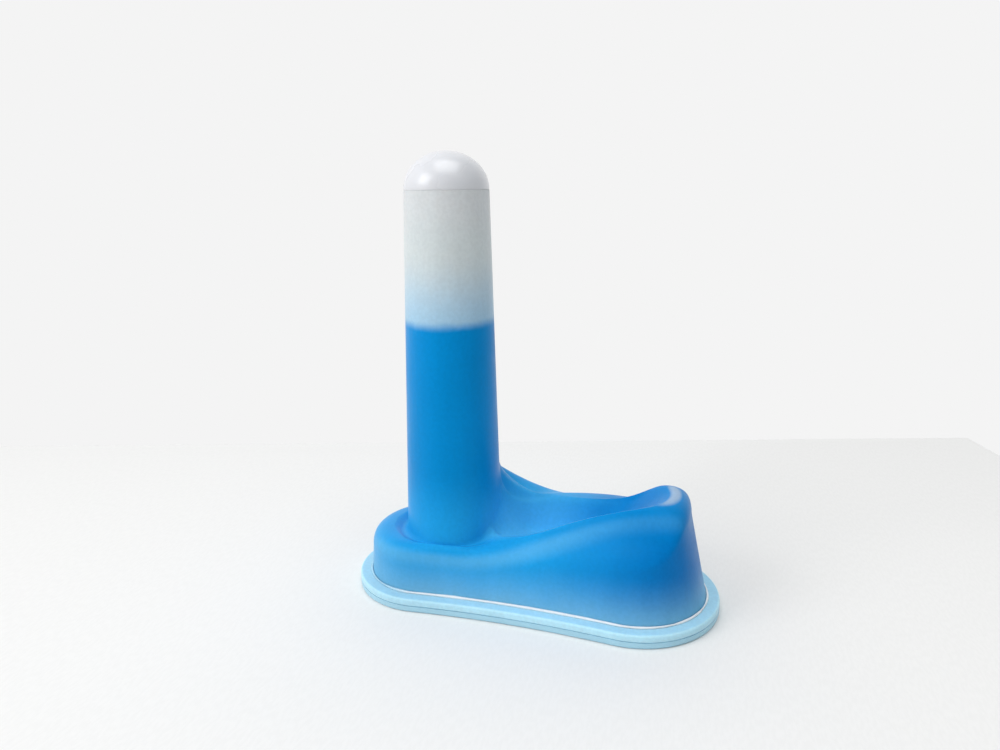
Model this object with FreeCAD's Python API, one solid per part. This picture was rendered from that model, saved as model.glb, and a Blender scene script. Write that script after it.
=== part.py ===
"""Liquid-filled moulded vessel: tall round-ended stem on a pear-shaped scooped base.

Everything is drawn about the stem axis (x = y = 0), with +X towards the raised end of
the base and +Z up.  Every piece is moved by the same amount as it is written out, so
that the footprint is centred on the origin and the underside rests on z = 0.
"""
import math
import os

import FreeCAD, Part

os.makedirs("parts", exist_ok=True)

# ---- driving sizes, mm ----------------------------------------------------------

TOTAL_HEIGHT = 148.6

# pear-shaped footprint of the foot flange: two end arcs joined by two hollow arcs
NARROW_END_RADIUS = 25.0
WIDE_END_RADIUS = 28.7
WAIST_RADIUS = 330.0
NARROW_CENTRE_X = -9.7
WIDE_CENTRE_X = 62.9

# round stem
STEM_TOP_RADIUS = 13.6
DOME_HEIGHT = 11.9
STEM_FOOT_RADIUS = 16.45
STEM_FOOT_LEVEL = 22.0

# scooped base
FLANGE_WIDTH = 4.4
RIM_LOW_HEIGHT = 21.3
RIM_HIGH_HEIGHT = 40.2
FAR_RIM_HEIGHT = 30.8
NEAR_RISE_START_X = 6.0
NEAR_RISE_END_X = 76.0
FAR_RISE_START_X = 57.0
FAR_RISE_END_X = 74.0
FAR_RIM_TURNS = (80.0, 150.0)
BASIN_FLOOR_HEIGHT = 19.8
GROOVE_DEPTH = 1.6
SHOULDER_WIDTH_AT_STEM = 8.0
SHOULDER_WIDTH_AT_PEAK = 9.0
SHOULDER_WIDTH_AT_END = 5.5
SHOULDER_HEIGHT = 7.0
SHOULDER_SQUARENESS = 2.5
INNER_WALL_WIDTH = 9.0
BASIN_RISE_START_X = 40.0
BASIN_RISE_END_X = 84.0
SIDE_SLOPE_AT_STEM = 0.06
SIDE_SLOPE_AT_PEAK = 0.12
SIDE_SLOPE_AT_END = 0.22
# concave flare where the stem grows out of the basin and the far rim
FLARE_WIDTH = 16.0
FLARE_HEIGHT = 19.0
FLARE_NEAR_TURNS = (-40.0, 22.0)
FLARE_FAR_TURNS = (52.0, 150.0)
SMALL_FLARE = 0.18

# moulded wall and the stack at the foot
WALL = 2.0
PLATE_THICKNESS = 2.2
GASKET_THICKNESS = 0.3
FLANGE_THICKNESS = 2.2
GASKET_EDGE_INSET = 0.35
RIB_THICKNESS = 1.6
RIB_HEIGHT = 3.0
RIB_CLEARANCE = 0.3
EDGE_ROUNDING = 0.8
BEAD_WIDTH = 0.8
BEAD_HEIGHT = 0.7
BEAD_WALL_GAP = 0.05

# push-in dome cap
MOUTH_WALL = 1.6
MOUTH_DEPTH = 13.0
SPIGOT_LENGTH = 11.0
SPIGOT_CLEARANCE = 0.06
SPIGOT_WALL = 3.14
PARTING_CHAMFER = 0.12
RING_SECTION_RADIUS = 0.8
RING_RUNNING_GAP = 0.02
RING_SQUEEZE = 0.02
RING_DEPTHS = (3.2, 7.2)
GROOVE_SIDE_GAP = 0.12

# liquid
LIQUID_LEVEL = 93.0
AIR_POCKET_LEVEL = 35.2
AIR_POCKET_START_X = 40.0
FILM_GAP = 0.4

# ---- sizes that follow from the ones above --------------------------------------

RIM_LEVEL = TOTAL_HEIGHT - DOME_HEIGHT
MOUTH_RADIUS = STEM_TOP_RADIUS - MOUTH_WALL
SPIGOT_BORE_RADIUS = MOUTH_RADIUS - SPIGOT_CLEARANCE - SPIGOT_WALL
FLANGE_BOTTOM = PLATE_THICKNESS + GASKET_THICKNESS
FLANGE_TOP = FLANGE_BOTTOM + FLANGE_THICKNESS
FOOTPRINT_CENTRE_X = 0.5 * (NARROW_CENTRE_X - NARROW_END_RADIUS
                            + WIDE_CENTRE_X + WIDE_END_RADIUS)

# how finely the moulded skin is drawn
END_ARC_STEPS = 24
SIDE_ARC_STEPS = 24
STEM_STEPS = 9
SHOULDER_STEPS = 9
WALL_STEPS = 6


def smooth_step(value, start, end):
    """0 below start, 1 above end, with a soft cosine rise between."""
    share = min(1.0, max(0.0, (value - start) / (end - start)))
    return 0.5 - 0.5 * math.cos(math.pi * share)


def polar(centre_x, centre_y, radius, angle):
    return (centre_x + radius * math.cos(angle), centre_y + radius * math.sin(angle))


def waist_centre():
    """Centre of the hollow arc on the -Y side of the pear outline."""
    spacing = WIDE_CENTRE_X - NARROW_CENTRE_X
    to_narrow = NARROW_END_RADIUS + WAIST_RADIUS
    to_wide = WIDE_END_RADIUS + WAIST_RADIUS
    along = (to_narrow ** 2 - to_wide ** 2 + spacing ** 2) / (2.0 * spacing)
    return NARROW_CENTRE_X + along, -math.sqrt(to_narrow ** 2 - along ** 2)


def outline_arcs(inset):
    """The closed pear outline as (centre x, centre y, radius, start angle, end angle)."""
    wx, wy = waist_centre()
    narrow_angle = math.atan2(wy, wx - NARROW_CENTRE_X)
    wide_angle = math.atan2(wy, wx - WIDE_CENTRE_X)
    narrow = NARROW_END_RADIUS - inset
    wide = WIDE_END_RADIUS - inset
    waist = WAIST_RADIUS + inset
    return [
        (WIDE_CENTRE_X, 0.0, wide, wide_angle, -wide_angle),
        (wx, -wy, waist, -wide_angle - math.pi, -narrow_angle - math.pi),
        (NARROW_CENTRE_X, 0.0, narrow, -narrow_angle, 2.0 * math.pi + narrow_angle),
        (wx, wy, waist, narrow_angle + math.pi, wide_angle + math.pi),
    ]


def outline_face(inset, level):
    edges = []
    for cx, cy, radius, start, end in outline_arcs(inset):
        points = [FreeCAD.Vector(*polar(cx, cy, radius, angle), level)
                  for angle in (start, 0.5 * (start + end), end)]
        edges.append(Part.Arc(*points).toShape())
    return Part.Face(Part.Wire(edges))


def outline_slab(inset, bottom, thickness):
    return outline_face(inset, bottom).extrude(FreeCAD.Vector(0, 0, thickness))


def outline_ring(outer_inset, inner_inset, bottom, thickness):
    outer = outline_slab(outer_inset, bottom, thickness)
    return outer.cut(outline_slab(inner_inset, bottom - 1.0, thickness + 2.0))


def outline_samples(inset):
    """Points round the outline, close together where it turns."""
    samples = []
    for index, (cx, cy, radius, start, end) in enumerate(outline_arcs(inset)):
        steps = END_ARC_STEPS if index in (0, 2) else SIDE_ARC_STEPS
        for step in range(steps):
            angle = start + (end - start) * (step + 0.5) / steps
            samples.append(polar(cx, cy, radius, angle))
    return samples


def stem_radius(level):
    slope = (STEM_FOOT_RADIUS - STEM_TOP_RADIUS) / (RIM_LEVEL - STEM_FOOT_LEVEL)
    return STEM_TOP_RADIUS + slope * (RIM_LEVEL - level)


def blend(low, high, share):
    return low + (high - low) * share


def saturated(value, limit):
    """The value while small, settling smoothly at the limit when large."""
    return value / (1.0 + (value / limit) ** 6) ** (1.0 / 6.0)


def squared_off(share):
    """A quarter-round coordinate pushed out towards a squarer corner."""
    return share ** (2.0 / SHOULDER_SQUARENESS)


def depth_in(x, y):
    """How far a plan point lies inside the pear outline, square to the outline."""
    wx, wy = waist_centre()
    across = -abs(y) - wy
    lean = (x - wx) / across
    if lean < (NARROW_CENTRE_X - wx) / -wy:
        return NARROW_END_RADIUS - math.hypot(x - NARROW_CENTRE_X, y)
    if lean > (WIDE_CENTRE_X - wx) / -wy:
        return WIDE_END_RADIUS - math.hypot(x - WIDE_CENTRE_X, y)
    return math.hypot(x - wx, across) - WAIST_RADIUS


def radius_at_depth(azimuth, reach, depth):
    """Distance from the stem axis, inside the reach, where the outline is depth away."""
    radius = reach
    for _ in range(60):
        here = depth_in(*polar(0.0, 0.0, radius, azimuth))
        radius = max(1.0, radius - max(0.0, depth - here))
    return radius


def far_share(turn):
    """1 along the far side and the raised end, fading to 0 round behind the stem."""
    return smooth_step(turn, 0.0, 8.0) * (1.0 - smooth_step(turn, *FAR_RIM_TURNS))


def flare_share(turn):
    """How fully the stem flares into the base at this azimuth, 0 to 1."""
    full = smooth_step(turn, *FLARE_NEAR_TURNS) * (1.0 - smooth_step(turn, *FLARE_FAR_TURNS))
    return blend(SMALL_FLARE, 1.0, full)


def flare_rise(run, share):
    """Height of the flare above the ground it grows from, and its slope, at a run."""
    inward = max(0.0, 1.0 - run / (FLARE_WIDTH * share))
    upright = math.sqrt(1.0 - inward ** 2)
    slope = FLARE_HEIGHT * inward / (FLARE_WIDTH * max(upright, 0.1))
    return FLARE_HEIGHT * share * (1.0 - upright), slope


def crest_height(x, turn):
    """Height of the rim crest: low in front of the stem, high at the wide end."""
    near = blend(RIM_LOW_HEIGHT, RIM_HIGH_HEIGHT,
                 smooth_step(x, NEAR_RISE_START_X, NEAR_RISE_END_X))
    far = blend(FAR_RIM_HEIGHT, RIM_HIGH_HEIGHT,
                smooth_step(x, FAR_RISE_START_X, FAR_RISE_END_X))
    return blend(near, far, far_share(turn))


def wall_top_depth(x, y, height):
    """Depth of the top of the side wall, and of the crest, beside a plan point."""
    along = smooth_step(x, 0.0, 66.0)
    past = max(0.0, x - WIDE_CENTRE_X)
    at_end = past ** 2 / (past ** 2 + y ** 2 + 1e-6)
    slope = blend(SIDE_SLOPE_AT_STEM, blend(SIDE_SLOPE_AT_PEAK, SIDE_SLOPE_AT_END, at_end),
                  along)
    shoulder = blend(SHOULDER_WIDTH_AT_STEM,
                     blend(SHOULDER_WIDTH_AT_PEAK, SHOULDER_WIDTH_AT_END, at_end), along)
    depth = FLANGE_WIDTH + slope * (height - SHOULDER_HEIGHT - FLANGE_TOP)
    return depth, depth + shoulder


def crest_place(reach, azimuth):
    """Crest radius, crest height and radius of the wall top at one azimuth."""
    turn = math.degrees(azimuth)
    radius = 0.8 * reach
    for _ in range(25):
        x, y = polar(0.0, 0.0, radius, azimuth)
        height = crest_height(x, turn)
        wall_depth, crest_depth = wall_top_depth(x, y, height)
        wall_top = radius_at_depth(azimuth, reach, wall_depth)
        inner = radius_at_depth(azimuth, reach, crest_depth)
        room = max(1.6, wall_top - stem_radius(height))
        wall_top = stem_radius(height) + room
        radius = 0.5 * (radius + wall_top - saturated(0.66 * room, wall_top - inner + 0.5))
    return radius, height, wall_top


def radial_profile(x, y, top, bottom):
    """Skin profile (radius, level) from stem to foot in the plane of one foot point."""
    reach = math.hypot(x, y)
    azimuth = math.atan2(y, x)
    turn = math.degrees(azimuth)
    crest_radius, rim, wall_top_radius = crest_place(reach, azimuth)
    # scoop between stem and rim: flare, floor, inner side of the rim
    stem_foot = stem_radius(rim)
    gap = crest_radius - stem_foot
    share = flare_share(turn)
    groove = rim - GROOVE_DEPTH * (1.0 - far_share(turn))
    floor = blend(groove, min(groove, BASIN_FLOOR_HEIGHT), smooth_step(gap, 3.0, 22.0))
    crest_depth = depth_in(*polar(0.0, 0.0, crest_radius, azimuth))
    inner_wall = saturated(0.8 * gap, INNER_WALL_WIDTH)
    flare_run = saturated(0.6 * gap, 0.9 * FLARE_WIDTH * share)
    start_level = floor + flare_rise(0.0, share)[0]
    profile = []
    for step in range(STEM_STEPS):
        level = blend(top, start_level, step / STEM_STEPS)
        profile.append((stem_radius(level), level))
    start_radius = stem_radius(start_level)
    runs = [flare_run * (step / 8.0) ** 1.6 for step in range(8)]
    runs += [blend(flare_run, gap, 1.0 - (1.0 - step / 10.0) ** 1.3) for step in range(10)]
    for run in runs:
        radius = start_radius + run * (crest_radius - start_radius) / gap
        place = polar(0.0, 0.0, radius, azimuth)
        ramp = smooth_step(place[0], BASIN_RISE_START_X, BASIN_RISE_END_X)
        ground = blend(floor, max(floor, RIM_HIGH_HEIGHT), ramp)
        beside = blend(rim, crest_height(place[0], turn), smooth_step(gap, 6.0, 20.0))
        rim_depth = min(crest_depth, wall_top_depth(*place, beside)[1])
        climb = 1.0 - smooth_step(depth_in(*place) - rim_depth, 0.0, inner_wall)
        profile.append((radius, blend(ground, beside, climb) + flare_rise(run, share)[0]))
    # shoulder outside the crest, then the drafted side wall
    crest_rise, crest_slope = flare_rise(gap, share)
    crest = rim + crest_rise
    shoulder = wall_top_radius - crest_radius
    begin = math.atan(crest_slope * shoulder / SHOULDER_HEIGHT)
    for step in range(SHOULDER_STEPS):
        angle = blend(begin, 0.5 * math.pi, step / SHOULDER_STEPS)
        out = (squared_off(math.sin(angle)) - squared_off(math.sin(begin))) \
            / (1.0 - squared_off(math.sin(begin)))
        drop = 1.0 - squared_off(math.cos(angle)) / squared_off(math.cos(begin))
        profile.append((crest_radius + shoulder * out, crest - SHOULDER_HEIGHT * drop))
    wall_top = crest - SHOULDER_HEIGHT
    for step in range(WALL_STEPS + 1):
        level = blend(wall_top, bottom, step / WALL_STEPS)
        share = (wall_top - level) / (wall_top - FLANGE_TOP)
        profile.append((blend(wall_top_radius, reach, share), level))
    return profile


def plan_point(azimuth, radius, level):
    return FreeCAD.Vector(radius * math.cos(azimuth), radius * math.sin(azimuth), level)


def level_over(profile, radius):
    """Level of the skin above a point this far from the stem axis."""
    for (near, high), (far, low) in zip(profile, profile[1:]):
        if near <= radius <= far:
            return blend(high, low, (radius - near) / max(far - near, 1e-9))
    return TOTAL_HEIGHT


def thinned(profiles, azimuths, inset):
    """The same profiles moved inwards, square to the skin, by inset."""
    count = len(profiles)
    last = len(profiles[0]) - 1
    grid = [[plan_point(azimuth, *spot) for spot in profile]
            for azimuth, profile in zip(azimuths, profiles)]
    moved = []
    for index, profile in enumerate(profiles):
        outward = FreeCAD.Vector(math.cos(azimuths[index]), math.sin(azimuths[index]), 0)
        row = []
        for spot, (radius, level) in enumerate(profile):
            around = grid[(index + 1) % count][spot] - grid[index - 1][spot]
            down = grid[index][min(spot + 1, last)] - grid[index][max(spot - 1, 0)]
            normal = down.cross(around).normalize()
            across = normal.dot(outward)
            length = across ** 2 + normal.z ** 2
            radius -= inset * across / length
            if 0 < spot < last:
                level -= inset * normal.z / length
            row.append((radius, level))
        # where rim and stem crowd together the wall keeps its thickness
        for spot in range(last - 1, -1, -1):
            radius = min(row[spot][0], row[spot + 1][0] - 0.03)
            cover = level_over(profile, radius) - inset
            row[spot] = (radius, min(row[spot][1], cover) if spot > 0 else row[spot][1])
        moved.append(row)
    return moved


def skin_solid(inset, top, bottom):
    """Solid bounded by the moulded skin moved inwards by inset, cut flat top and bottom."""
    samples = outline_samples(FLANGE_WIDTH)
    count = len(samples)
    azimuths = [math.atan2(y, x) for x, y in samples]
    profiles = [radial_profile(*sample, top, bottom) for sample in samples]
    if inset > 0.0:
        profiles = thinned(profiles, azimuths, inset)
    rows = []
    for index, profile in enumerate(profiles):
        span = math.remainder(azimuths[(index + 1) % count] - azimuths[index - 1],
                              2.0 * math.pi) * 0.5
        fullness = 1.0 + span * span / 6.0
        rows.append([plan_point(azimuths[index], radius * fullness, level)
                     for radius, level in profile])
    stations = len(rows[0])
    surface = Part.BSplineSurface()
    surface.buildFromPolesMultsKnots(
        rows, [1] * (count + 1), [4] + [1] * (stations - 4) + [4],
        list(range(count + 1)), list(range(stations - 2)), True, False, 3, 3)
    side = surface.toShape()
    rings = [edge for edge in side.Edges if edge.BoundBox.ZLength < 1e-3]
    shell = Part.Shell([side] + [Part.Face(Part.Wire([ring])) for ring in rings])
    shell.sewShape()
    solid = Part.Solid(shell)
    if solid.Volume < 0:
        solid.reverse()
    return solid


def cylinder(radius, bottom, top):
    return Part.makeCylinder(radius, top - bottom, FreeCAD.Vector(0, 0, bottom))


def cone(lower_radius, upper_radius, bottom, top):
    return Part.makeCone(lower_radius, upper_radius, top - bottom,
                         FreeCAD.Vector(0, 0, bottom))


def round_outer_edges(shape, level, radius):
    """Round the edges of a slab that lie at the given level."""
    edges = [edge for edge in shape.Edges
             if edge.BoundBox.ZLength < 1e-6 and abs(edge.BoundBox.ZMin - level) < 1e-6]
    return shape.makeFillet(radius, edges)


def vessel_shell():
    outer = skin_solid(0.0, RIM_LEVEL, FLANGE_BOTTOM)
    flange = round_outer_edges(outline_slab(0.0, FLANGE_BOTTOM, FLANGE_THICKNESS),
                               FLANGE_TOP, EDGE_ROUNDING)
    core = skin_solid(WALL, RIM_LEVEL - 0.5 * MOUTH_DEPTH, FLANGE_BOTTOM - 1.0)
    mouth = cylinder(MOUTH_RADIUS, RIM_LEVEL - MOUTH_DEPTH, RIM_LEVEL + 1.0)
    lead_in = cone(MOUTH_RADIUS, MOUTH_RADIUS + 0.5, RIM_LEVEL - 0.5, RIM_LEVEL)
    outside = cylinder(STEM_TOP_RADIUS + 2.0, RIM_LEVEL - PARTING_CHAMFER, RIM_LEVEL)
    bevel = outside.cut(cone(STEM_TOP_RADIUS + 0.01, STEM_TOP_RADIUS - PARTING_CHAMFER,
                             RIM_LEVEL - PARTING_CHAMFER, RIM_LEVEL))
    return outer.fuse(flange).cut(core).cut(mouth).cut(lead_in).cut(bevel)


def ring_groove_floor():
    return MOUTH_RADIUS - RING_RUNNING_GAP - 2.0 * RING_SECTION_RADIUS + RING_SQUEEZE


def half_ball(radius, height):
    """Upper half of a ball on the rim level, flattened to the given height."""
    ball = Part.makeSphere(radius, FreeCAD.Vector(0, 0, 0), FreeCAD.Vector(0, 0, 1), 0, 90, 360)
    flatten = FreeCAD.Matrix()
    flatten.scale(1.0, 1.0, height / radius)
    flat = ball.transformGeometry(flatten)
    flat.translate(FreeCAD.Vector(0, 0, RIM_LEVEL))
    return flat


def dome_cap():
    dome = half_ball(STEM_TOP_RADIUS, DOME_HEIGHT)
    edge = cylinder(STEM_TOP_RADIUS + 1.0, RIM_LEVEL, RIM_LEVEL + PARTING_CHAMFER)
    edge = edge.cut(cone(STEM_TOP_RADIUS - PARTING_CHAMFER, STEM_TOP_RADIUS + 0.001,
                         RIM_LEVEL, RIM_LEVEL + PARTING_CHAMFER))
    dome = dome.cut(edge)
    spigot_bottom = RIM_LEVEL - SPIGOT_LENGTH
    spigot_radius = MOUTH_RADIUS - SPIGOT_CLEARANCE
    spigot = cylinder(spigot_radius, spigot_bottom + 0.8, RIM_LEVEL)
    nose = cone(spigot_radius - 0.6, spigot_radius, spigot_bottom, spigot_bottom + 0.8)
    cap = dome.fuse(spigot).fuse(nose)
    for depth in RING_DEPTHS:
        half = RING_SECTION_RADIUS + GROOVE_SIDE_GAP
        middle = RIM_LEVEL - depth
        groove = cylinder(MOUTH_RADIUS + 1.0, middle - half, middle + half)
        cap = cap.cut(groove.cut(cylinder(ring_groove_floor(), middle - half, middle + half)))
    hollow = half_ball(STEM_TOP_RADIUS - WALL, DOME_HEIGHT - WALL)
    hollow = hollow.cut(cylinder(STEM_TOP_RADIUS, RIM_LEVEL - 1.0, RIM_LEVEL + 3.0))
    bore = cylinder(SPIGOT_BORE_RADIUS, spigot_bottom - 1.0, RIM_LEVEL + 4.0)
    return cap.cut(hollow).cut(bore).removeSplitter()


def cap_o_ring(depth):
    middle = RIM_LEVEL - depth
    centre_radius = MOUTH_RADIUS - RING_RUNNING_GAP - RING_SECTION_RADIUS
    return Part.makeTorus(centre_radius, RING_SECTION_RADIUS, FreeCAD.Vector(0, 0, middle))


def base_plate():
    plate = round_outer_edges(outline_slab(0.0, 0.0, PLATE_THICKNESS), 0.0, EDGE_ROUNDING)
    rib_inset = FLANGE_WIDTH + WALL + RIB_CLEARANCE
    rib = outline_ring(rib_inset, rib_inset + RIB_THICKNESS, PLATE_THICKNESS - 0.5,
                       RIB_HEIGHT + 0.5)
    return plate.fuse(rib).removeSplitter()


def base_gasket():
    return outline_ring(GASKET_EDGE_INSET, FLANGE_WIDTH + WALL, PLATE_THICKNESS,
                        GASKET_THICKNESS)


def sealant_bead():
    strip = outline_slab(FLANGE_WIDTH - BEAD_WIDTH, FLANGE_TOP, BEAD_HEIGHT)
    strip = round_outer_edges(strip, FLANGE_TOP + BEAD_HEIGHT, 0.6 * BEAD_HEIGHT)
    return strip.cut(outline_slab(FLANGE_WIDTH - BEAD_WALL_GAP, FLANGE_TOP - 1.0,
                                  BEAD_HEIGHT + 2.0))


def liquid_fill():
    fill = skin_solid(WALL + FILM_GAP, RIM_LEVEL - 0.5 * MOUTH_DEPTH, FLANGE_BOTTOM - 1.0)
    far = 300.0
    above = Part.makeBox(far, far, far, FreeCAD.Vector(-0.5 * far, -0.5 * far, LIQUID_LEVEL))
    below = Part.makeBox(far, far, far, FreeCAD.Vector(-0.5 * far, -0.5 * far,
                                                       PLATE_THICKNESS - far))
    pocket = Part.makeBox(far, far, far, FreeCAD.Vector(AIR_POCKET_START_X, -0.5 * far,
                                                        AIR_POCKET_LEVEL))
    rib_inset = FLANGE_WIDTH + WALL
    moat = outline_ring(rib_inset - 1.0, rib_inset + RIB_CLEARANCE + RIB_THICKNESS + FILM_GAP,
                        PLATE_THICKNESS - 0.1, RIB_HEIGHT + 0.1 + FILM_GAP)
    return fill.cut(above).cut(below).cut(pocket).cut(moat)


def write_part(name, shape):
    placed = shape.copy()
    placed.translate(FreeCAD.Vector(-FOOTPRINT_CENTRE_X, 0, 0))
    if len(placed.Solids) == 1:
        placed = placed.Solids[0]
    placed.exportStep("parts/" + name + ".step")
    print(name, "solids", len(shape.Solids), "volume", round(shape.Volume, 1),
          "valid", shape.isValid())


write_part("vessel_shell", vessel_shell())
write_part("dome_cap", dome_cap())
write_part("cap_o_ring_upper", cap_o_ring(RING_DEPTHS[0]))
write_part("cap_o_ring_lower", cap_o_ring(RING_DEPTHS[1]))
write_part("base_plate", base_plate())
write_part("base_gasket", base_gasket())
write_part("sealant_bead", sealant_bead())
write_part("liquid_fill", liquid_fill())
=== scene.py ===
"""Frosted vessel part-filled with blue liquid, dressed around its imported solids.

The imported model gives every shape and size.  This file gives each piece its finish,
rebuilds the sealant bead with the unevenness of a hand-run line, and sets the object
on a plain pale table under soft light.
"""
import logging
import math
from dataclasses import dataclass
from enum import Enum

import bpy
from mathutils import Matrix, Vector


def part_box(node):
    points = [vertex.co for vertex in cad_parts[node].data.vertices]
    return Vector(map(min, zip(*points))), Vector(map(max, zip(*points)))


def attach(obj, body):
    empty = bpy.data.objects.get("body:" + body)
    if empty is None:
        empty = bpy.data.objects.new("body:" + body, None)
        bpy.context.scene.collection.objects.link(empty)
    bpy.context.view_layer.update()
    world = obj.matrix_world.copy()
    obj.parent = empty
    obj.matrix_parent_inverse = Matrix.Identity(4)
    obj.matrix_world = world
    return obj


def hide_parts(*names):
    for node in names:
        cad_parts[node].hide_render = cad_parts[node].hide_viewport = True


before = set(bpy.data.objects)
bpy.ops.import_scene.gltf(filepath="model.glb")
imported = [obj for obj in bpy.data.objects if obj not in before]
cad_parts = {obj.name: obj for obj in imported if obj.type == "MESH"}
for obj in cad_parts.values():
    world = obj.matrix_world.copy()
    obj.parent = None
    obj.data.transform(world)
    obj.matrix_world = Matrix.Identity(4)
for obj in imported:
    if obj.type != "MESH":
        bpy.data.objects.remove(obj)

logging.basicConfig(level=logging.INFO, format="%(message)s")
LOG = logging.getLogger("vessel")

MM = 0.001

Rgb = tuple[float, float, float]
Span = tuple[float, float]
Socket = bpy.types.NodeSocket
EVEN = (1.0, 1.0, 1.0)


class Grain(Enum):
    """How rough a surface feels: grain size per metre and height in metres."""

    FROSTED = (1400.0, 0.000020)
    SATIN = (900.0, 0.000008)
    RUBBERY = (500.0, 0.000030)
    WET = (40.0, 0.000010)


class ShaderSheet:
    """A material's node tree with short calls for the nodes this object needs."""

    def __init__(self, name: str) -> None:
        """Start an empty material that ends in a Principled shader.

        Args:
            name: The material's name.
        """
        self.material = bpy.data.materials.new(name)
        self.material.use_nodes = True
        self.nodes = self.material.node_tree.nodes
        self.links = self.material.node_tree.links
        self.shader = self.nodes["Principled BSDF"]
        self.place = self.nodes.new("ShaderNodeTexCoord").outputs["Object"]
        split = self.nodes.new("ShaderNodeSeparateXYZ")
        self.links.new(self.place, split.inputs[0])
        self.along, self.across, self.height = split.outputs

    def noise(self, scale: float, detail: float = 3.0, stretch: Rgb = EVEN) -> Socket:
        """Noise over the piece.

        Args:
            scale: Features per metre.
            detail: Layers of finer noise.
            stretch: How much denser the pattern is along X, Y and Z.

        Returns:
            The noise's value socket, about 0.5 on average.
        """
        mapping = self.nodes.new("ShaderNodeMapping")
        mapping.inputs["Scale"].default_value = stretch
        self.links.new(self.place, mapping.inputs["Vector"])
        texture = self.nodes.new("ShaderNodeTexNoise")
        texture.inputs["Scale"].default_value = scale
        texture.inputs["Detail"].default_value = detail
        self.links.new(mapping.outputs["Vector"], texture.inputs["Vector"])
        return texture.outputs["Fac"]

    def ramp(self, value: Socket, start: float, end: float, low: float = 0.0,
             high: float = 1.0) -> Socket:
        """Soft step of a value from low at start to high at end, clamped outside.

        Args:
            value: The socket to read.
            start: Value where the step starts.
            end: Value where it ends.
            low: Result below start.
            high: Result above end.

        Returns:
            The result socket.
        """
        node = self.nodes.new("ShaderNodeMapRange")
        node.interpolation_type = "SMOOTHSTEP"
        for socket, number in zip(("From Min", "From Max", "To Min", "To Max"),
                                  (start, end, low, high)):
            node.inputs[socket].default_value = number
        self.links.new(value, node.inputs["Value"])
        return node.outputs["Result"]

    def sum(self, first: Socket | float, second: Socket | float,
            kind: str = "ADD") -> Socket:
        """Join two numbers, sockets or plain, by the named sum.

        Args:
            first: Socket or number.
            second: Socket or number.
            kind: A Math node operation.

        Returns:
            The result socket.
        """
        node = self.nodes.new("ShaderNodeMath")
        node.operation = kind
        for slot, item in enumerate((first, second)):
            if isinstance(item, (int, float)):
                node.inputs[slot].default_value = item
            else:
                self.links.new(item, node.inputs[slot])
        return node.outputs[0]

    def mix(self, share: Socket | float, below: Socket | Rgb, above: Socket | Rgb,
            kind: str = "MIX") -> Socket:
        """Blend two colours.

        Args:
            share: Socket or number, 0 for below and 1 for above.
            below: Colour or socket.
            above: Colour or socket.
            kind: A Mix node blend type.

        Returns:
            The colour socket.
        """
        node = self.nodes.new("ShaderNodeMix")
        node.data_type = "RGBA"
        node.blend_type = kind
        for socket, item in ((node.inputs[0], share), (node.inputs[6], below),
                             (node.inputs[7], above)):
            if isinstance(item, tuple):
                socket.default_value = (*item, 1.0)
            elif isinstance(item, (int, float)):
                socket.default_value = item
            else:
                self.links.new(item, socket)
        return node.outputs[2]

    def varied(self, colour: Socket | Rgb, scale: float, amount: float,
               stretch: Rgb = EVEN) -> Socket:
        """Lighten and darken a colour a little in patches.

        Args:
            colour: Colour or socket.
            scale: Patches per metre.
            amount: How far the colour swings, as a share.
            stretch: How much denser the patches are along X, Y and Z.

        Returns:
            The colour socket.
        """
        patch = self.noise(scale, 4.0, stretch)
        light = self.ramp(patch, 0.3, 0.7, 1.0 - amount, 1.0 + amount)
        grey = self.nodes.new("ShaderNodeCombineColor")
        for socket in grey.inputs:
            self.links.new(light, socket)
        return self.mix(1.0, colour, grey.outputs[0], "MULTIPLY")

    def paint(self, colour: Socket) -> None:
        """Give the shader its colour.

        Args:
            colour: The colour socket.
        """
        self.links.new(colour, self.shader.inputs["Base Color"])

    def feel(self, grain: Grain, smooth: float, rough: float) -> None:
        """Set grain bump and a roughness that wanders between two values.

        Args:
            grain: The surface's grain.
            smooth: Roughness where it is smoothest.
            rough: Roughness where it is roughest.
        """
        per_metre, depth = grain.value
        patch = self.ramp(self.noise(per_metre * 0.06), 0.3, 0.7, smooth, rough)
        self.links.new(patch, self.shader.inputs["Roughness"])
        bump = self.nodes.new("ShaderNodeBump")
        bump.inputs["Strength"].default_value = 0.6
        bump.inputs["Distance"].default_value = depth
        self.links.new(self.noise(per_metre, 2.0), bump.inputs["Height"])
        self.links.new(bump.outputs["Normal"], self.shader.inputs["Normal"])

    def glow_within(self, weight: float, depth: float, tint: Rgb) -> None:
        """Let light spread under the surface.

        Args:
            weight: Share of the light that goes in.
            depth: How far it spreads, metres.
            tint: How far each colour spreads, as shares of depth.
        """
        self.shader.inputs["Subsurface Weight"].default_value = weight
        self.shader.inputs["Subsurface Radius"].default_value = tint
        self.shader.inputs["Subsurface Scale"].default_value = depth


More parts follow.
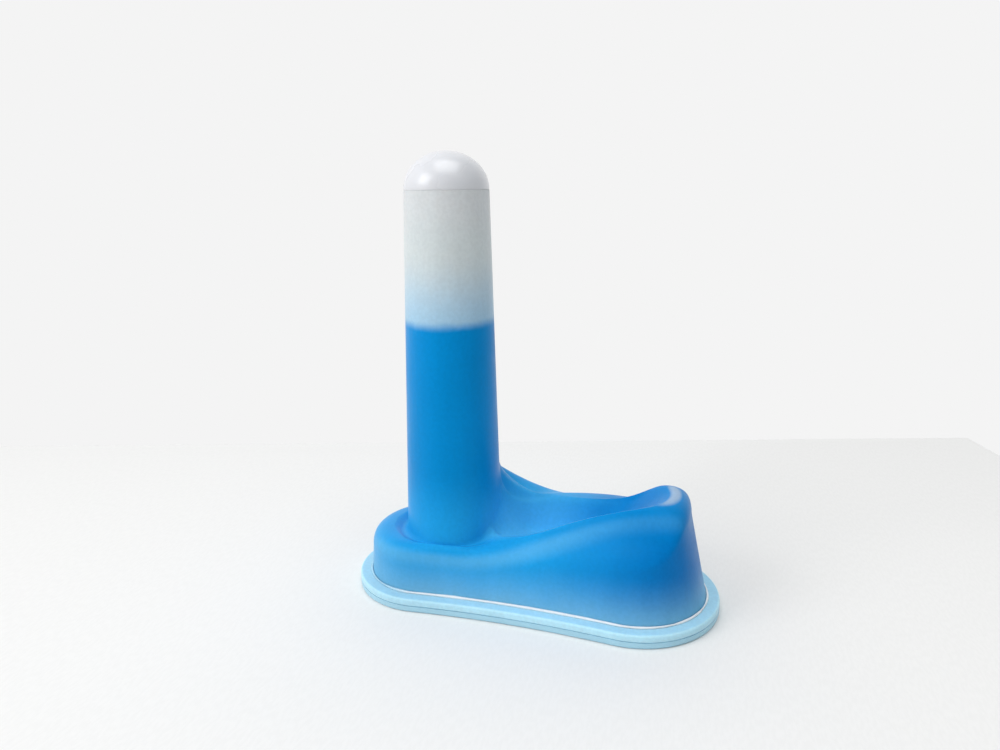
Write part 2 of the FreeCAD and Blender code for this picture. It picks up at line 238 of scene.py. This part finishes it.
@dataclass(frozen=True)
class FrostedVesselFinish:
    """Milky moulded wall, coloured by what stands behind it at each height, with painted
    light and shade at a few places.

    Heights are metres above the table.  A span is where one colour gives way to the
    next: a height, or a place along or across the object.
    """

    liquid_level: float
    flange_top: float
    peak_height: float
    low_crest: float = 21.3 * MM
    stem_blue: Rgb = (0.0, 0.25, 0.62)
    body_blue: Rgb = (0.012, 0.35, 0.78)
    # paler blue of the painted pool of light beside the stem
    painted_pool_blue: Rgb = (0.08, 0.50, 0.92)
    # darker blue towards the raised end: deeper liquid there, with painted shade
    deep_and_shaded_blue: Rgb = (0.0, 0.165, 0.50)
    # paler blue for the foot and the thin end: thinner liquid there; at the foot it also
    # stands for painted light carried up from the base plate
    foot: Rgb = (0.20, 0.50, 0.73)
    flange: Rgb = (0.50, 0.79, 0.93)
    haze: Rgb = (0.36, 0.57, 0.74)
    milk: Rgb = (0.62, 0.67, 0.675)
    crown: Rgb = (0.65, 0.67, 0.68)
    sheen: Rgb = (0.15, 0.55, 0.80)
    # colour of the painted highlight along the near shoulder
    shoulder_highlight_paint: Rgb = (0.15, 0.50, 0.80)
    towards_raised_end: Span = (-8 * MM, 52 * MM)
    up_the_stem: Span = (26 * MM, 48 * MM)
    scoop_start: Span = (-20 * MM, -8 * MM)
    scoop_end: Span = (4 * MM, 26 * MM)
    scoop_side: Span = (-13 * MM, -8 * MM)
    scoop_height: Span = (20 * MM, 42 * MM)
    foot_height: float = 17 * MM
    foot_fade: float = 0.42
    thin_end: Span = (-62 * MM, -36 * MM)
    thin_end_height: Span = (16 * MM, 26 * MM)
    thin_end_share: float = 0.32
    near_rise: Span = (-22.4 * MM, 47.6 * MM)
    shoulder_top: Span = (0.8 * MM, 3.2 * MM)
    shoulder_bottom: Span = (3.6 * MM, 8.0 * MM)
    near_side: Span = (-14 * MM, -9 * MM)
    shoulder_run: Span = (0.0, 40 * MM)
    shoulder_glint: float = 0.45
    haze_height: float = 26 * MM
    crown_rise: Span = (24 * MM, 42 * MM)
    liquid_edge: Span = (0.2 * MM, 4.2 * MM)
    wander_height: float = 2.5 * MM

    def below_liquid(self, sheet: ShaderSheet, height: Socket) -> Socket:
        """Blue of the filled part, paler at the thin end, with a painted pool of light in the
        scoop, a paler foot (thinner liquid, with painted light), darker towards the raised
        end (deeper liquid, with painted shade) and a painted highlight along the near
        shoulder.

        Args:
            sheet: The node tree to add to.
            height: Socket of the height, a little unsteady.

        Returns:
            The colour socket.
        """
        # darker towards the raised end: deeper liquid there, with painted shade on the side
        # away from the window light
        body = sheet.mix(sheet.ramp(sheet.along, *self.towards_raised_end), self.body_blue,
                         self.deep_and_shaded_blue)
        blue = sheet.mix(sheet.ramp(sheet.height, *self.up_the_stem), body, self.stem_blue)
        # painted pool of light on the floor of the scoop beside the stem
        beside = sheet.sum(sheet.ramp(sheet.along, *self.scoop_start),
                           sheet.ramp(sheet.along, *self.scoop_end, 1.0, 0.0), "MULTIPLY")
        within = sheet.sum(sheet.ramp(sheet.across, *self.scoop_side),
                           sheet.ramp(sheet.height, *self.scoop_height, 1.0, 0.0), "MULTIPLY")
        blue = sheet.mix(sheet.sum(beside, within, "MULTIPLY"), blue, self.painted_pool_blue)
        # paler towards the flange: thinner liquid there, with painted light carried up from
        # the base plate
        risen = sheet.ramp(height, self.flange_top, self.flange_top + self.foot_height)
        colour = sheet.mix(sheet.sum(risen, self.foot_fade, "POWER"), self.foot, blue)
        thin = sheet.sum(sheet.ramp(sheet.along, *self.thin_end, self.thin_end_share, 0.0),
                         sheet.ramp(height, *self.thin_end_height, 1.0, 0.0), "MULTIPLY")
        colour = sheet.mix(thin, colour, self.foot)
        # painted highlight along the shoulder under the near rim
        colour = sheet.mix(self.painted_shoulder_highlight(sheet), colour, self.shoulder_highlight_paint)
        return sheet.mix(sheet.ramp(sheet.height, self.flange_top - 0.2 * MM,
                                    self.flange_top + 0.3 * MM), self.flange, colour)

    def painted_shoulder_highlight(self, sheet: ShaderSheet) -> Socket:
        """Share of painted highlight in a band along the shoulder under the near rim, on the
        near side only.

        Args:
            sheet: The node tree to add to.

        Returns:
            The share's socket.
        """
        crest = sheet.ramp(sheet.along, *self.near_rise, self.low_crest, self.peak_height)
        below = sheet.sum(crest, sheet.height, "SUBTRACT")
        band = sheet.sum(sheet.ramp(below, *self.shoulder_top),
                         sheet.ramp(below, *self.shoulder_bottom, 1.0, 0.0), "MULTIPLY")
        near = sheet.ramp(sheet.across, *self.near_side, self.shoulder_glint, 0.0)
        fading = sheet.ramp(sheet.along, *self.shoulder_run, 1.0, 0.35)
        return sheet.sum(sheet.sum(band, near, "MULTIPLY"), fading, "MULTIPLY")

    def above_liquid(self, sheet: ShaderSheet, height: Socket) -> Socket:
        """Milky wall over air, hazed with blue just above the liquid.

        Args:
            sheet: The node tree to add to.
            height: Socket of the height, a little unsteady.

        Returns:
            The colour socket.
        """
        clouded = sheet.mix(sheet.ramp(height, self.liquid_level,
                                       self.liquid_level + self.haze_height),
                            self.haze, self.milk)
        start, end = (self.liquid_level + rise for rise in self.crown_rise)
        return sheet.mix(sheet.ramp(height, start, end), clouded, self.crown)

    def build(self) -> bpy.types.Material:
        """Build the material.

        Returns:
            The material.
        """
        sheet = ShaderSheet("frosted wall over blue liquid")
        wander = sheet.sum(sheet.noise(90.0), 0.5, "SUBTRACT")
        height = sheet.sum(sheet.height, sheet.sum(wander, self.wander_height, "MULTIPLY"))
        colour = self.below_liquid(sheet, height)
        near_peak = sheet.ramp(sheet.height, self.peak_height - 0.6 * MM,
                               self.peak_height - 0.1 * MM, 0.0, 0.5)
        at_raised_end = sheet.ramp(sheet.along, 5 * MM, 20 * MM)
        colour = sheet.mix(sheet.sum(near_peak, at_raised_end, "MULTIPLY"), colour, self.milk)
        start, end = (self.liquid_level + rise for rise in self.liquid_edge)
        colour = sheet.mix(sheet.ramp(height, start, end), colour,
                           self.above_liquid(sheet, height))
        # broad clouds, then flow marks that run up the stem, then fine speckle
        colour = sheet.varied(colour, 16.0, 0.05)
        colour = sheet.varied(colour, 220.0, 0.02, (1.0, 1.0, 0.10))
        colour = sheet.varied(colour, 900.0, 0.03)
        sheet.paint(colour)
        sheet.feel(Grain.FROSTED, 0.32, 0.42)
        sheet.glow_within(0.15, 2.5 * MM, (0.5, 0.8, 1.0))
        sheet.shader.inputs["Specular IOR Level"].default_value = 0.2
        sheet.shader.inputs["Specular Tint"].default_value = (*self.sheen, 1.0)
        return sheet.material


@dataclass(frozen=True)
class MouldedFinish:
    """One plain colour of moulded or cured stuff with its own grain."""

    name: str
    colour: Rgb
    grain: Grain
    smooth: float
    rough: float
    patchiness: float = 0.04
    glow: float = 0.0
    coat: float = 0.0

    def build(self) -> bpy.types.Material:
        """Build the material.

        Returns:
            The material.
        """
        sheet = ShaderSheet(self.name)
        colour = sheet.varied(self.colour, 30.0, self.patchiness)
        sheet.paint(sheet.varied(colour, 240.0, 0.3 * self.patchiness))
        sheet.feel(self.grain, self.smooth, self.rough)
        if self.glow > 0.0:
            sheet.glow_within(self.glow, 2.5 * MM, (0.8, 0.9, 1.0))
        if self.coat > 0.0:
            sheet.shader.inputs["Coat Weight"].default_value = self.coat
            sheet.shader.inputs["Coat Roughness"].default_value = 0.38
        return sheet.material


@dataclass(frozen=True)
class SealantFinish:
    """Cured sealant, white where it lies thick and nearly clear where it is thin."""

    white: Rgb = (0.90, 0.93, 0.95)
    thin: Rgb = (0.42, 0.70, 0.86)
    thick_from: float = -42.0 * MM

    def build(self) -> bpy.types.Material:
        """Build the material.

        Returns:
            The material.
        """
        sheet = ShaderSheet("cured sealant")
        lie = sheet.sum(sheet.along, sheet.sum(sheet.noise(60.0), 24.0 * MM, "MULTIPLY"))
        thick = sheet.ramp(lie, self.thick_from, self.thick_from + 22.0 * MM)
        sheet.paint(sheet.varied(sheet.mix(thick, self.thin, self.white), 300.0, 0.03))
        sheet.feel(Grain.RUBBERY, 0.35, 0.5)
        sheet.glow_within(0.2, 1.0 * MM, (0.8, 0.9, 1.0))
        return sheet.material


def only(piece: bpy.types.Object) -> None:
    """Make one object the only selected and active one.

    Args:
        piece: The object.
    """
    bpy.ops.object.select_all(action="DESELECT")
    piece.hide_set(False)
    piece.select_set(True)
    bpy.context.view_layer.objects.active = piece


def dress(piece: bpy.types.Object, finish: bpy.types.Material) -> None:
    """Put one finish on every material slot of a piece.

    Args:
        piece: The object to dress.
        finish: Its material.
    """
    if not piece.material_slots:
        piece.data.materials.append(finish)
    for slot in piece.material_slots:
        slot.material = finish


def merged_copy(node: str, name: str, angle: float) -> bpy.types.Object:
    """Copy a solid's mesh as one joined, smooth-shaded surface.

    Args:
        node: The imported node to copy.
        name: The new piece's name.
        angle: Edges sharper than this, in degrees, stay crisp.

    Returns:
        The new piece, not yet riding on a body.
    """
    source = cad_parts[node]
    piece = bpy.data.objects.new(name, source.data.copy())
    bpy.context.scene.collection.objects.link(piece)
    only(piece)
    bpy.ops.object.mode_set(mode="EDIT")
    bpy.ops.mesh.select_all(action="SELECT")
    bpy.ops.mesh.remove_doubles(threshold=0.002 * MM)
    bpy.ops.object.mode_set(mode="OBJECT")
    bpy.ops.object.shade_smooth_by_angle(angle=math.radians(angle))
    return piece


@dataclass
class Vessel:
    """The moulded shell, its foot, seals and liquid.

    Sizes are metres; heights are above the table.
    """

    peak_height: float = 40.2 * MM
    bead_smooth_angle: float = 60.0
    swell_length: float = 9.0 * MM
    swell_height: float = 0.5 * MM
    swell_rest: float = 0.75

    def __post_init__(self) -> None:
        """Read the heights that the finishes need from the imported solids."""
        self.liquid_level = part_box("liquid_fill")[1].z
        self.flange_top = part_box("sealant_bead")[0].z

    def build_shell(self) -> bpy.types.Object:
        """Dress the shell as frosted wall over blue liquid.

        Returns:
            The shell.
        """
        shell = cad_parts["vessel_shell"]
        finish = FrostedVesselFinish(self.liquid_level, self.flange_top, self.peak_height)
        dress(shell, finish.build())
        return shell

    def build_foot(self) -> bpy.types.Object:
        """Dress the base plate.

        Returns:
            The plate.
        """
        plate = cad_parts["base_plate"]
        dress(plate, MouldedFinish("pale blue base plate", (0.40, 0.68, 0.83),
                                   Grain.SATIN, 0.36, 0.46, glow=0.15).build())
        return plate

    def build_seals(self) -> list[bpy.types.Object]:
        """Dress the gasket film and the sealant bead.

        Returns:
            The pieces.
        """
        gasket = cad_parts["base_gasket"]
        dress(gasket, MouldedFinish("sealing film", (0.42, 0.72, 0.87),
                                    Grain.RUBBERY, 0.45, 0.55).build())
        return [gasket, self.build_bead()]

    def build_bead(self) -> bpy.types.Object:
        """Rebuild the sealant bead with the swells and thin spots of a hand-run line.

        Returns:
            The new bead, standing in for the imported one.
        """
        bead = merged_copy("sealant_bead", "sealant_bead_run", self.bead_smooth_angle)
        bpy.ops.object.mode_set(mode="EDIT")
        bpy.ops.mesh.select_all(action="SELECT")
        bpy.ops.mesh.subdivide(number_cuts=1)
        bpy.ops.object.mode_set(mode="OBJECT")
        swell = bead.modifiers.new("swell", "DISPLACE")
        swell.texture = bpy.data.textures.new("bead swell", "CLOUDS")
        swell.texture.noise_scale = self.swell_length
        swell.strength = self.swell_height
        swell.mid_level = self.swell_rest
        bpy.ops.object.modifier_apply(modifier=swell.name)
        dress(bead, SealantFinish().build())
        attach(bead, "vessel")
        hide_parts("sealant_bead")
        return bead

    def build_liquid(self) -> bpy.types.Object:
        """Dress the liquid as clear dyed water.

        Returns:
            The liquid.
        """
        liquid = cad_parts["liquid_fill"]
        dress(liquid, MouldedFinish("dyed water", (0.0, 0.147, 0.604), Grain.WET,
                                    0.04, 0.07, coat=0.4).build())
        return liquid


class Cap:
    """The domed push-in cap with its two sealing rings."""

    def build(self) -> list[bpy.types.Object]:
        """Dress the dome and the rings.

        Returns:
            The pieces.
        """
        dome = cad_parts["dome_cap"]
        dress(dome, MouldedFinish("frosted dome", (0.69, 0.70, 0.735), Grain.FROSTED,
                                  0.22, 0.30, 0.02, glow=0.2, coat=1.0).build())
        rubber = MouldedFinish("pale silicone rubber", (0.604, 0.638, 0.656),
                               Grain.RUBBERY, 0.4, 0.5).build()
        rings = [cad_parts[name] for name in ("cap_o_ring_upper", "cap_o_ring_lower")]
        for ring in rings:
            dress(ring, rubber)
        return [dome, *rings]


@dataclass
class Studio:
    """Table, light and camera.

    The camera and the table are placed from the stem's foot, the lights from the
    middle of the object's underside: aside, ahead and up as the camera looks.
    """

    azimuth: float = 14.0
    pitch: float = 14.7
    roll: float = -0.5
    lens: float = 27.0
    eye_height: float = 140.0 * MM
    stem_ahead: float = 244.4 * MM
    stem_aside: float = -16.4 * MM
    table_back: float = 390.0 * MM
    table_right: float = 257.0 * MM
    table_left: float = 1100.0 * MM
    table_front: float = 700.0 * MM
    table_thickness: float = 18.0 * MM
    table_edge: float = 1.2 * MM
    weave_per_metre: float = 1100.0
    weave_depth: float = 0.1 * MM
    cloth_dark: Rgb = (0.85, 0.845, 0.835)
    cloth_light: Rgb = (0.87, 0.865, 0.855)
    window_place: Rgb = (-0.95, -0.45, 0.70)
    window_size: float = 0.6
    window_power: float = 4.3
    top_place: Rgb = (0.00, -0.14, 1.00)
    top_size: float = 0.7
    top_power: float = 4.0
    aim_height: float = 60.0 * MM
    backdrop: Rgb = (0.905, 0.905, 0.905)
    room: Rgb = (0.40, 0.415, 0.42)
    window_side: Rgb = (0.95, 0.95, 0.96)

    def directions(self) -> tuple[Vector, Vector]:
        """Level forward and right directions of the camera.

        Returns:
            The two directions, each of length one.
        """
        turn = math.radians(self.azimuth)
        ahead = Vector((-math.sin(turn), math.cos(turn), 0.0))
        aside = Vector((math.cos(turn), math.sin(turn), 0.0))
        return ahead, aside

    def foot(self) -> Vector:
        """Point of the table straight below the camera.

        Returns:
            The point.
        """
        low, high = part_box("dome_cap")
        stem = Vector(((low.x + high.x) / 2.0, (low.y + high.y) / 2.0, 0.0))
        ahead, aside = self.directions()
        return stem - ahead * self.stem_ahead - aside * self.stem_aside

    def build_camera(self) -> bpy.types.Object:
        """Set up the camera.

        Returns:
            The camera.
        """
        ahead, aside = self.directions()
        pitch, roll = math.radians(self.pitch), math.radians(self.roll)
        up = Vector((0.0, 0.0, 1.0))
        look = ahead * math.cos(pitch) - up * math.sin(pitch)
        top = aside.cross(look)
        right = aside * math.cos(roll) + top * math.sin(roll)
        top = top * math.cos(roll) - aside * math.sin(roll)
        camera = bpy.data.objects.new("camera", bpy.data.cameras.new("camera"))
        camera.data.lens = self.lens
        camera.data.sensor_width = 36.0
        camera.data.clip_start = 0.01
        turned = Matrix((right, top, -look)).transposed().to_4x4()
        camera.matrix_world = Matrix.Translation(self.foot() + up * self.eye_height) @ turned
        bpy.context.scene.collection.objects.link(camera)
        bpy.context.scene.camera = camera
        return camera

    def build_table(self) -> bpy.types.Object:
        """Lay the pale table top, its upper face on the object's underside.

        Returns:
            The table.
        """
        ahead, aside = self.directions()
        foot = self.foot()
        middle = (foot + aside * (self.table_right - self.table_left) / 2.0
                  + ahead * (self.table_back - self.table_front) / 2.0)
        bpy.ops.object.select_all(action="DESELECT")
        bpy.ops.mesh.primitive_cube_add(size=1.0)
        table = bpy.context.active_object
        table.name = "table top"
        table.dimensions = (self.table_right + self.table_left,
                            self.table_back + self.table_front, self.table_thickness)
        table.rotation_euler.z = math.radians(self.azimuth)
        table.location = middle - Vector((0.0, 0.0, self.table_thickness / 2.0))
        bpy.ops.object.transform_apply(location=True, rotation=True, scale=True)
        edge = table.modifiers.new("edge", "BEVEL")
        edge.width = self.table_edge
        edge.segments = 3
        bpy.ops.object.modifier_apply(modifier=edge.name)
        sheet = ShaderSheet("white table cloth")
        weave = sheet.noise(self.weave_per_metre, 2.0, (1.0, 0.3, 1.0))
        sheet.paint(sheet.mix(sheet.ramp(weave, 0.35, 0.65), self.cloth_dark,
                              self.cloth_light))
        sheet.shader.inputs["Roughness"].default_value = 0.75
        bump = sheet.nodes.new("ShaderNodeBump")
        bump.inputs["Strength"].default_value = 0.15
        bump.inputs["Distance"].default_value = self.weave_depth
        sheet.links.new(weave, bump.inputs["Height"])
        sheet.links.new(bump.outputs["Normal"], sheet.shader.inputs["Normal"])
        dress(table, sheet.material)
        return table

    def add_panel(self, name: str, place: Vector, size: float, power: float) -> None:
        """Hang one square light panel aimed at the object's middle.

        Args:
            name: The panel's name.
            place: Its place from the object's foot: aside, ahead and up, metres.
            size: Side length, metres.
            power: Watts.
        """
        ahead, aside = self.directions()
        spot = aside * place.x + ahead * place.y + Vector((0.0, 0.0, place.z))
        panel = bpy.data.objects.new(name, bpy.data.lights.new(name, "AREA"))
        panel.data.size = size
        panel.data.energy = power
        panel.location = spot
        aim = Vector((0.0, 0.0, self.aim_height)) - spot
        panel.rotation_euler = aim.to_track_quat("-Z", "Y").to_euler()
        bpy.context.scene.collection.objects.link(panel)

    def build_world(self) -> None:
        """Surround the table with a white backdrop, a bright left and a dimmer room."""
        world = bpy.data.worlds.new("pale room")
        world.use_nodes = True
        nodes, links = world.node_tree.nodes, world.node_tree.links
        place = nodes.new("ShaderNodeTexCoord").outputs["Generated"]
        ahead, aside = self.directions()
        colour = self.room
        for heading, start, end, tint in ((-aside, 0.1, 0.95, self.window_side),
                                          (ahead, 0.25, 0.72, self.backdrop)):
            facing = nodes.new("ShaderNodeVectorMath")
            facing.operation = "DOT_PRODUCT"
            facing.inputs[1].default_value = heading
            links.new(place, facing.inputs[0])
            share = nodes.new("ShaderNodeMapRange")
            share.interpolation_type = "SMOOTHSTEP"
            share.inputs["From Min"].default_value = start
            share.inputs["From Max"].default_value = end
            links.new(facing.outputs["Value"], share.inputs["Value"])
            blend = nodes.new("ShaderNodeMix")
            blend.data_type = "RGBA"
            links.new(share.outputs["Result"], blend.inputs[0])
            if isinstance(colour, tuple):
                blend.inputs[6].default_value = (*colour, 1.0)
            else:
                links.new(colour, blend.inputs[6])
            blend.inputs[7].default_value = (*tint, 1.0)
            colour = blend.outputs[2]
        links.new(colour, nodes["Background"].inputs["Color"])
        bpy.context.scene.world = world

    def build_light(self) -> None:
        """Soft daylight from the upper left, with a little from above."""
        self.build_world()
        self.add_panel("window light", Vector(self.window_place), self.window_size,
                       self.window_power)
        self.add_panel("top light", Vector(self.top_place), self.top_size, self.top_power)
        bpy.context.scene.view_settings.view_transform = "Standard"
        bpy.context.scene.view_settings.look = "None"


def main() -> None:
    """Build everything in order and report each piece."""
    bpy.ops.object.select_all(action="DESELECT")
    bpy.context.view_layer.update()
    vessel = Vessel()
    made = [vessel.build_shell(), vessel.build_foot(), *vessel.build_seals(),
            vessel.build_liquid(), *Cap().build()]
    for piece in made:
        LOG.info("dressed %s", piece.name)
    studio = Studio()
    studio.build_table()
    studio.build_light()
    studio.build_camera()
    LOG.info("stage, light and camera set")


if __name__ == "__main__":
    main()
